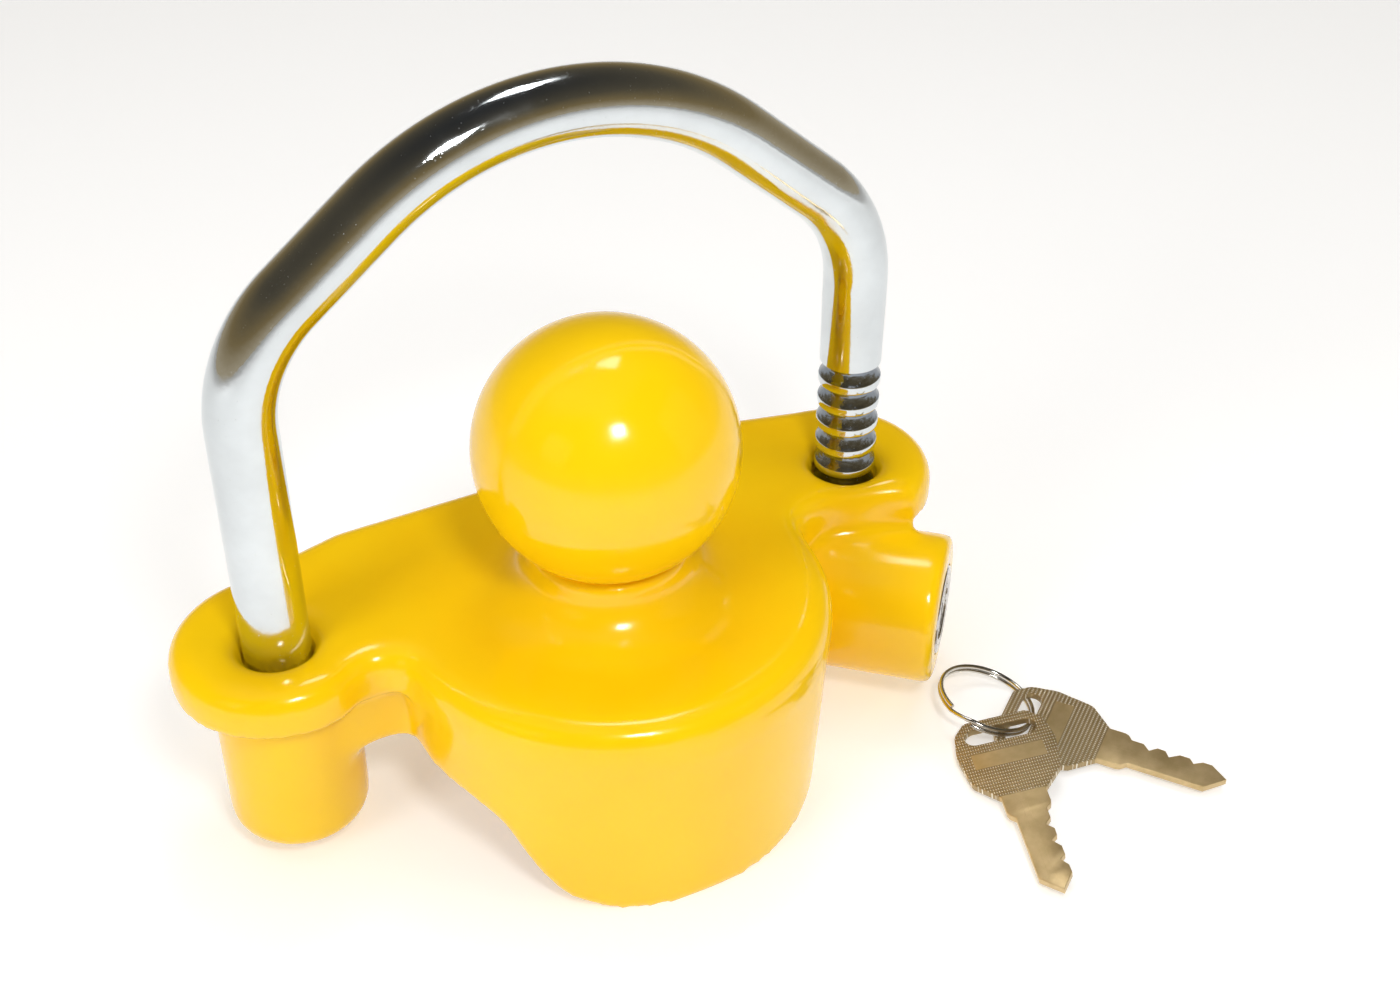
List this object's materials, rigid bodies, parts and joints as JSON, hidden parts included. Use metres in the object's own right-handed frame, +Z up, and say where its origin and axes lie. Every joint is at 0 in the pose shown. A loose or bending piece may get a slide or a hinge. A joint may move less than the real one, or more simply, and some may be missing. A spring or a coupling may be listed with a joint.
{
  "type": "trailer_coupler_lock",
  "caption": "Yellow cast trailer coupler lock with a ball, a chromed U-shackle notched on one leg, a wafer cam lock and two keys on a split ring",
  "frame": {"origin": "centre of the base of the bounding box, on the table under the drum rim", "axes": "+Z up, X along the line between the shackle legs with the locked leg at +X, +Y towards the straight back of the casting"},
  "size_m": [0.178, 0.1122, 0.1396],
  "materials": {
    "yellow_paint": "glossy yellow enamel",
    "chrome": "bright chrome plate",
    "nickel": "worn nickel plate",
    "zinc_steel": "zinc plated",
    "brass": "machined"
  },
  "bodies": {
    "casting": {"ball_screw": "zinc_steel", "ball_spring_washer": "zinc_steel", "ball_washer": "zinc_steel", "body_casting": "yellow_paint", "bolt_spring": "zinc_steel", "bore_screw": "zinc_steel", "hitch_ball": "yellow_paint", "housing_pin": "zinc_steel", "lock_housing": "chrome"},
    "hoop": {"shackle": "chrome"},
    "plug": {"drive_cam": "zinc_steel", "lock_plug": "chrome", "plug_clip": "zinc_steel", "wafer_1": "brass", "wafer_2": "brass", "wafer_3": "brass", "wafer_4": "brass", "wafer_5": "brass"},
    "bolt": {"lock_bolt": "zinc_steel"},
    "ring": {"key_ring": "zinc_steel"},
    "key_a": {"key_1": "nickel"},
    "key_b": {"key_2": "nickel"}
  },
  "joints": [
    {"name": "shackle_slide", "type": "slide", "parent": "casting", "child": "hoop", "axis": [0, 0, 1], "range_m": [-0.0247, 0.03952]},
    {"name": "plug_turn", "type": "hinge", "parent": "casting", "child": "plug", "pos_m": [0.05672, 0.00396, 0.0201], "axis": [-0.7314, 0.682, 0], "range_deg": [0, 90]},
    {"name": "bolt_throw", "type": "slide", "parent": "casting", "child": "bolt", "axis": [0.682, 0.7314, 0], "range_m": [0, 0.0016]},
    {"name": "key_set_lift", "type": "slide", "parent": "casting", "child": "ring", "axis": [0, 0, 1], "range_m": [0, 0.12]},
    {"name": "key_1_swing", "type": "hinge", "parent": "ring", "child": "key_a", "pos_m": [0.05165, -0.01126, 0.00602], "axis": [0.2767, -0.9479, -0.1576], "range_deg": [0, 50]},
    {"name": "key_2_swing", "type": "hinge", "parent": "ring", "child": "key_b", "pos_m": [0.06603, -0.01613, 0.00157], "axis": [0.5948, -0.8039, 0], "range_deg": [0, 50]}
  ],
  "couplings": [
    {"joint": "plug_turn", "follows": "bolt_throw", "rad_per_m": 981.75}
  ]
}
